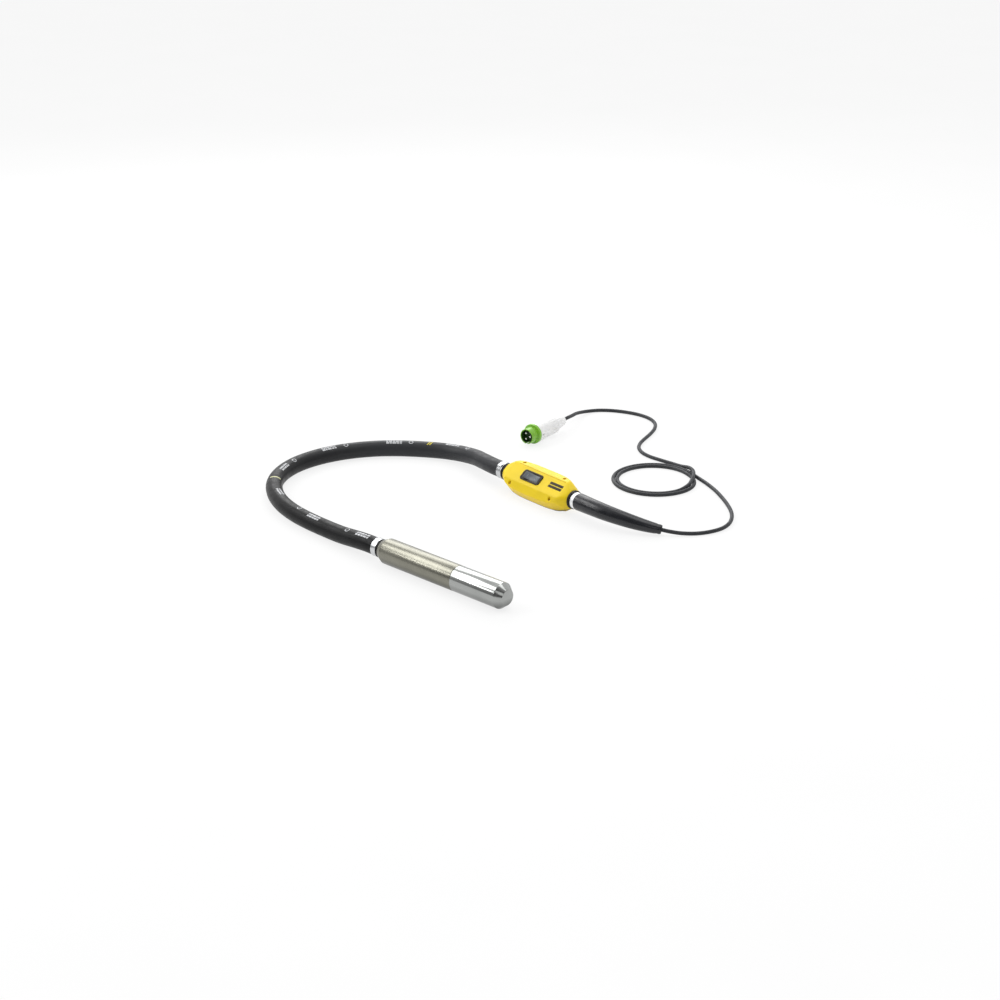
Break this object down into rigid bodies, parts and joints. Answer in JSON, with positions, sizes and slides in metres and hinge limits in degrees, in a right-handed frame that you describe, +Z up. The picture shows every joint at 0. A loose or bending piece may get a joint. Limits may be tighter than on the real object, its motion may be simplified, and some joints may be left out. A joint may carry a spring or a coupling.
{
  "type": "concrete vibrator",
  "caption": "Internal concrete vibrator: round steel head on a thick rubber protective hose, in-line switch housing with a rocker switch, looped supply cord and round plug.",
  "frame": {"origin": "on the ground, under the middle of the box around the head and the switch housing (the free hose, cord and plug are not counted)", "axes": "+X along the head towards its nose, +Z up, +Y from the head towards the switch housing"},
  "size_m": [0.982, 1.119, 0.0699],
  "materials": {
    "head_steel": "fine turned, satin",
    "nose_steel": "polished hardened steel",
    "dark_steel": "plain",
    "bearing_steel": "polished",
    "copper": "enamelled copper wire",
    "weight_iron": "machined casting",
    "spring_steel": "oiled",
    "zinc": "zinc plated",
    "nickel": "nickel plated",
    "brass": "bare",
    "cage_brass": "pressed",
    "hose_rubber": "matte",
    "seal_rubber": "matte",
    "cord_rubber": "matte",
    "boot_rubber": "matte",
    "yellow": "fine textured, semi-gloss",
    "black_plastic": "matte",
    "white_plastic": "semi-gloss",
    "green_plastic": "semi-gloss",
    "dark_green": "matte",
    "rocker_grey": "gloss",
    "ivory": "matte",
    "wire_red": "flexible insulation"
  },
  "bodies": {
    "housing": {"protective_hose": "hose_rubber", "inner_cable": "seal_rubber", "hose_nipple": "zinc", "hose_ring": "seal_rubber", "rear_clamp": "zinc", "housing_top": "yellow", "housing_bottom": "yellow", "housing_gasket": "seal_rubber", "housing_screws": "dark_steel", "nipple_nuts": "zinc", "boot_nipple": "zinc", "boot_ring": "seal_rubber", "boot_ferrule": "zinc", "bend_protector": "boot_rubber", "cord_tail": "cord_rubber", "power_cord": "cord_rubber", "cable_clamps": "black_plastic", "clamp_screws": "zinc", "terminal_block": "ivory", "terminal_screws": "brass", "internal_wires": "wire_red", "switch_frame": "black_plastic", "switch_base": "black_plastic", "fixed_contacts": "brass", "rocker_pin": "zinc", "seesaw_pin": "zinc", "plug_collar": "green_plastic", "plug_insert": "dark_green", "plug_pins": "nickel", "plug_shell": "white_plastic", "plug_cap": "white_plastic", "plug_gland_seal": "seal_rubber", "plug_wires": "wire_red", "plug_screws": "zinc"},
    "head": {"rear_end_piece": "head_steel", "head_tube": "head_steel", "head_nose": "nose_steel", "stator_core": "dark_steel", "stator_winding": "copper", "thermal_cutout": "black_plastic", "motor_leads": "wire_red", "bearing_outer_rings": "bearing_steel", "bore_circlips": "spring_steel", "preload_spring": "spring_steel", "head_o_rings": "seal_rubber", "head_cable_seal": "seal_rubber", "front_clamp": "zinc"},
    "rotor": {"rotor_shaft": "dark_steel", "rotor_core": "dark_steel", "rotor_end_rings": "zinc", "eccentric_weight": "weight_iron", "eccentric_key": "dark_steel", "bearing_inner_rings": "bearing_steel", "shaft_circlips": "spring_steel"},
    "bearing_cage": {"bearing_balls": "bearing_steel", "bearing_cages": "cage_brass"},
    "rocker": {"rocker_cap": "rocker_grey", "rocker_plunger": "brass"},
    "contact": {"contact_seesaw": "brass"}
  },
  "joints": [
    {"name": "head_swing", "type": "hinge", "parent": "housing", "child": "head", "pos_m": [-0.2358, -0.2511, 0.0285], "axis": [0, 0, 1], "range_deg": [-20, 20], "stiffness_Nm_per_rad": 4, "deforming": ["protective_hose", "inner_cable"]},
    {"name": "rotor_spin", "type": "hinge", "parent": "head", "child": "rotor", "pos_m": [0.0442, -0.2541, 0.0285], "axis": [1, 0, 0], "continuous": true},
    {"name": "cage_roll", "type": "hinge", "parent": "head", "child": "bearing_cage", "pos_m": [0.0442, -0.2541, 0.0285], "axis": [1, 0, 0], "continuous": true},
    {"name": "rocker_tilt", "type": "hinge", "parent": "housing", "child": "rocker", "pos_m": [-0.11142, 0.22945, 0.04835], "axis": [-0.0824, -0.7837, -0.6157], "range_deg": [0, 14]},
    {"name": "contact_tilt", "type": "hinge", "parent": "housing", "child": "contact", "pos_m": [-0.11084, 0.23497, 0.04126], "axis": [-0.0824, -0.7837, -0.6157], "range_deg": [-12, 0]}
  ],
  "couplings": [
    {"joint": "cage_roll", "follows": "rotor_spin", "ratio": 0.39552},
    {"joint": "contact_tilt", "follows": "rocker_tilt", "ratio": -0.85714}
  ]
}
